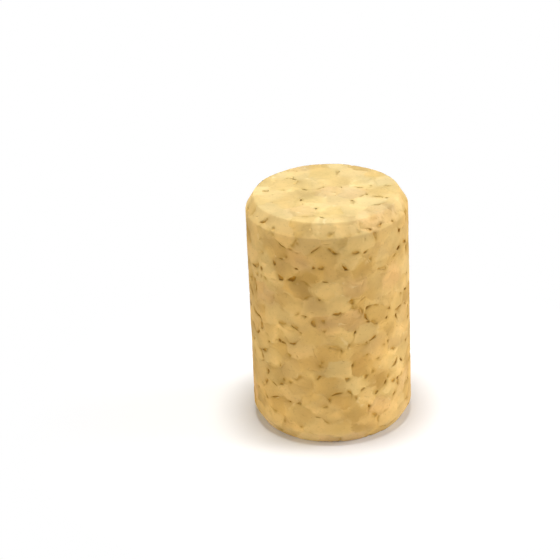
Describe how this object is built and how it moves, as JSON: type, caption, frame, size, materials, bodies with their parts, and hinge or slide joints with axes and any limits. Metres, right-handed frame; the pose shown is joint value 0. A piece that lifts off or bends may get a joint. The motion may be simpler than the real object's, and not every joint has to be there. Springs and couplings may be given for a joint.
{
  "type": "cork stopper",
  "caption": "Straight agglomerated cork stopper, 24 mm across and 36 mm tall, with a chamfer at both ends and small open gaps between its pressed granules.",
  "frame": {"origin": "middle of the lower end, on the surface that the stopper stands on", "axes": "+Z along the stopper's axis, up through the upper end; X and Y lie across it, and the body looks alike all the way round"},
  "size_m": [0.024, 0.024, 0.036],
  "materials": {
    "cork": "matte"
  },
  "bodies": {
    "root": {"stopper": "cork"}
  },
  "joints": []
}
